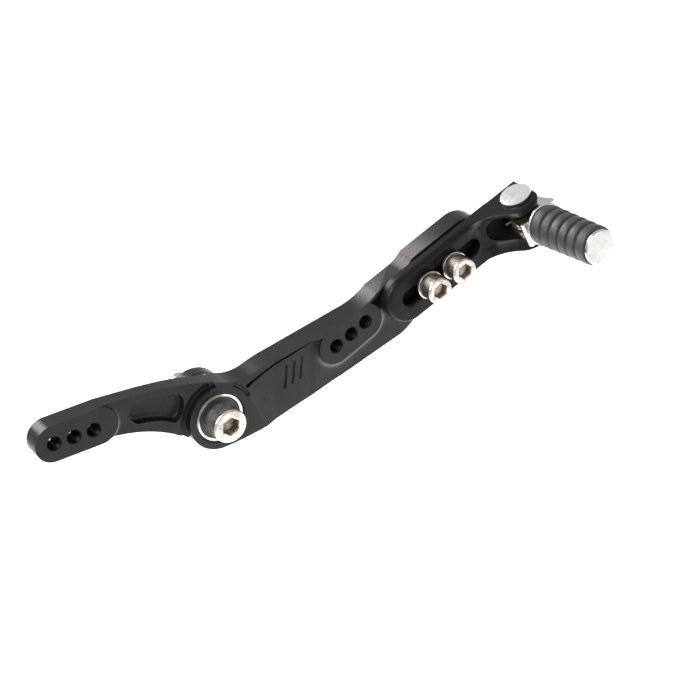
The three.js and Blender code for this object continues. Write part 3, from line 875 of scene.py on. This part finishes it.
def pivot_spacer():
    """Collar behind the arm, with a narrow nose that meets the rear bearing's inner race."""
    low, high = SPACER_LOW, SPACER_HIGH
    outer = (high.x - low.x) / 2
    flange, nose, bore = low.y + 0.7, 5.2, 4.1
    stations = (
        (low.y, bore + 0.2), (low.y, nose - 0.2), (low.y + 0.15, nose), (flange, nose),
        (flange, outer - 1.0),
        (flange + 0.3, outer - 0.45), (flange + 1.0, outer),
        (high.y - 0.6, outer), (high.y, outer - 0.6),
        (high.y, bore + 0.4), (high.y - 0.4, bore), (low.y + 0.2, bore),
    )
    part = smooth(turned(stations, "pivot_spacer_collar", ring=True), 25)
    fit_out(part, "pivot_mount", "black_anodised", BLACK, "pivot_spacer")


def hinge_pin():
    """Flat-headed pin with a groove for its circlip."""
    shank, groove = 2.5, 2.0
    head = (PIN_HIGH.x - PIN_LOW.x) / 2
    under = SLIDER_HIGH.z + 0.12
    clip_low, clip_high = limits("pin_circlip")
    stations = (
        (PIN_LOW.z, shank - 0.6), (PIN_LOW.z + 0.5, shank),
        (clip_low.z - 0.15, shank), (clip_low.z - 0.15, groove),
        (clip_high.z + 0.15, groove), (clip_high.z + 0.15, shank),
        (under, shank), (under, head - 0.2), (under + 0.2, head),
        (PIN_HIGH.z - 0.3, head), (PIN_HIGH.z - 0.08, head - 0.12), (PIN_HIGH.z, head - 0.4),
    )
    pin = turned(stations, "hinge_pin_turned", axis="Z", centre=(HINGE.x, HINGE.y))
    smooth(pin, 25)
    fit_out(pin, "toe_piece", "polished_aluminium", ALUMINIUM, "hinge_pin")
    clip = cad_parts["pin_circlip"]
    clip.data.materials.clear()
    clip.data.materials.append(SPRING)
    soften(clip, 0.1, 2)


# ---- folding peg ---------------------------------------------------------
def put_on_hinge(piece):
    """Turns a piece drawn along -Y from the origin onto the hinge at the peg's angle."""
    placing = Matrix.Translation(HINGE * MM) @ Matrix.Rotation(PEG_YAW, 4, "Z")
    piece.data.transform(placing)
    return piece


def toe_peg():
    """Two lugs that widen into a neck and flange, and the capped spigot under the rubber."""
    mouth = SLIDER_HALF - EAR - 0.3
    low, high = SLIDER_Z - mouth, SLIDER_Z + mouth
    lug, neck_half, flange, flange_end, rim = 6.2, 9.0, 10.6, 11.6, 8.0
    side = bend((rim - 0.2, -flange - 0.1), (neck_half + 0.3, -9.6), (7.8, -8), 8)
    outline = [*side, *arc((0, 0), lug, 0, math.pi), *[(-x, y) for x, y in reversed(side)]]
    core = prism(outline, low, high, "XY", "toe_peg_core",
                 round_front=0.35, round_back=0.35, segments=3)
    gap_half, gap_end = 3.1, -6.9
    gap = [(-20, gap_end), (20, gap_end), (20, 20), (-20, 20)]
    combine(core, prism(gap, SLIDER_Z - gap_half, SLIDER_Z + gap_half, "XY"))
    combine(core, turned(((low - 1, HINGE_BORE), (high + 1, HINGE_BORE)), "cutter", 40, "Z"))
    cap, spigot = 6.6, 4.3
    stations = (
        (-42.0, cap - 0.7), (-41.85, cap - 0.25), (-41.5, cap), (-40.6, cap), (-40.3, cap - 0.25),
        (-40.3, spigot), (-flange_end, spigot), (-flange_end, rim - 0.3),
        (-flange_end + 0.15, rim - 0.05), (-flange_end + 0.3, rim), (-flange - 0.25, rim),
        (-flange - 0.08, rim - 0.08), (-flange, rim - 0.3),
    )
    combine(core, turned(stations, "cutter", centre=(0, PEG_Z)), "UNION")
    soften(clean(core), 0.2)
    put_on_hinge(core)
    # The peg gets the darker copy of the polished aluminium: painted shade.
    return fit_out(core, "peg", "polished_aluminium", PEG_ALUMINIUM_SHADED, "toe_peg")


def rubber_sleeve():
    """Moulded sleeve: six ribs, each a little smaller than the one before."""
    start, end, bore = 11.9, 40.0, 4.5
    ribs, groove, depth, crown = 6, 0.55, 0.85, 0.12
    first_rib, taper = 7.75, 0.4
    pitch = (end - start) / ribs
    stations = [(-start, bore), (-start, 6.6)]
    for i in range(ribs):
        near = start + i * pitch
        far = near + pitch
        radius = first_rib - taper * i / (ribs - 1)
        first = near + (0 if i == 0 else groove)
        last = far - (0.1 if i == ribs - 1 else groove)
        stations += [
            (-first, radius - 0.45), (-first - 0.15, radius - 0.12), (-first - 0.5, radius),
            (-(first + last) / 2, radius + crown),
            (-last + 0.5, radius), (-last + 0.15, radius - 0.12),
        ]
        if i < ribs - 1:
            stations += [(-last, radius - 0.45), (-far + groove * 0.5, radius - depth),
                         (-far - groove * 0.5, radius - depth)]
        else:
            stations += [(-last, radius - 0.3), (-last, bore)]
    sleeve = turned(stations, "rubber_sleeve_ribbed", centre=(0, PEG_Z), ring=True)
    put_on_hinge(smooth(sleeve, 50))
    return fit_out(sleeve, "peg", "peg_rubber", RUBBER, "rubber_sleeve")


def torsion_spring():
    """Round wire wound about the pin, with a long leg below and a short one above."""
    turns, coil_pitch, coil, wire = 3, 1.45, 5.3, 0.6
    low_leg, steps, sides = 6.4, 40, 14
    high_leg = 0.45 * low_leg
    low = SLIDER_Z - turns * coil_pitch / 2
    path = [(low_leg * (i / 8 - 1), coil, low) for i in range(8)]
    for i in range(turns * steps + 1):
        angle = math.pi / 2 + TAU * i / steps
        path.append((coil * math.cos(angle), coil * math.sin(angle), low + coil_pitch * i / steps))
    path += [(-high_leg * i / 5, coil, low + turns * coil_pitch) for i in range(1, 6)]
    path = [Vector(p) for p in path]
    rings = []
    for i, point in enumerate(path):
        ahead = (path[min(i + 1, len(path) - 1)] - path[max(i - 1, 0)]).normalized()
        side = ahead.cross(Vector((0, 0, 1))).normalized()
        up = side.cross(ahead)
        rings.append([tuple(point + wire * (side * math.cos(a) + up * math.sin(a)))
                      for a in (TAU * k / sides for k in range(sides))])
    spring = smooth(loft(rings, "torsion_spring_wire"), 50)
    spring.data.transform(Matrix.Translation(HINGE * MM))
    return fit_out(spring, "toe_piece", "spring_steel", SPRING, "torsion_spring")


# ---- studio --------------------------------------------------------------
def area_light(name, place, target, size, watts, colour=(1, 1, 1)):
    data = bpy.data.lights.new(name, "AREA")
    data.shape = "RECTANGLE"
    data.size, data.size_y = size
    data.energy = watts
    data.color = colour
    lamp = bpy.data.objects.new(name, data)
    lamp.location = place
    lamp.rotation_euler = (Vector(target) - Vector(place)).to_track_quat("-Z", "Y").to_euler()
    bpy.context.scene.collection.objects.link(lamp)


def studio():
    floor_z = -0.16
    bpy.ops.mesh.primitive_plane_add(size=8, location=(0, 0, floor_z))
    floor = bpy.context.object
    floor.name = "studio_floor"
    floor.data.materials.append(floor_material())
    world = bpy.data.worlds.new("studio_world")
    world.use_nodes = True
    sky = world.node_tree.nodes["Background"]
    sky.inputs["Color"].default_value = (1, 1, 1, 1)
    sky.inputs["Strength"].default_value = 0.75
    bpy.context.scene.world = world
    target = (0.04, 0, 0)
    area_light("key_softbox", (-0.5, -0.14, 0.9), target, (0.8, 0.6), 16)
    area_light("back_softbox", (-0.08, 0.80, 0.66), target, (0.52, 0.42), 10, (1, 0.96, 0.93))
    area_light("table_bounce", (0.05, -0.045, floor_z + 0.005), (0.05, -0.045, 0), (0.42, 0.13), 0.6)
    area_light("low_fill", (0.3, -0.9, -0.02), target, (0.8, 0.25), 1.4)
    bpy.context.scene.view_settings.view_transform = "Standard"


def camera():
    """Long-lens view from above and in front of the pivot, tilted clockwise."""
    azimuth, elevation, roll = (math.radians(v) for v in (-15.73, 36.96, 29.2))
    target = Vector((0.0543, 0, -0.0127))
    distance = 0.7636
    ahead = Vector((-math.sin(azimuth) * math.cos(elevation),
                    math.cos(azimuth) * math.cos(elevation), -math.sin(elevation)))
    level = Vector((math.cos(azimuth), math.sin(azimuth), 0))
    upright = level.cross(ahead)
    right = level * math.cos(roll) - upright * math.sin(roll)
    up = level * math.sin(roll) + upright * math.cos(roll)
    data = bpy.data.cameras.new("camera")
    data.lens = 106.9
    data.sensor_width = 36
    seen = bpy.data.objects.new("camera", data)
    turn = Matrix((right, up, -ahead)).transposed().to_4x4()
    seen.matrix_world = Matrix.Translation(target - ahead * distance) @ turn
    bpy.context.scene.collection.objects.link(seen)
    bpy.context.scene.camera = seen


# ---- assembly ------------------------------------------------------------
lever_arm()
toe_slider()
socket_screw("pivot_bolt", "pivot_mount", across=6, pitch=1.25, thread_from=SPACER_HIGH.y - 3,
             height=8.0, shank=3.85, segments=224, side=KNURL_SHADED)
for number in (1, 2):
    socket_screw(f"clamp_screw_{number}", "lever", across=5, pitch=1.0, thread_from=SEAT_Y,
                 height=6.0, shank=2.9, segments=192, side=KNURL_DEEP_SHADED)
    ring_part(f"clamp_washer_{number}", "lever", "zinc_steel", ZINC, 3.2)
bearing("front", front_open=True)
bearing("rear", front_open=False)
ring_part("bearing_sleeve", "pivot_mount", "bearing_steel", RACE, RACE_BORE)
pivot_spacer()
hinge_pin()
toe_peg()
rubber_sleeve()
torsion_spring()
studio()
camera()
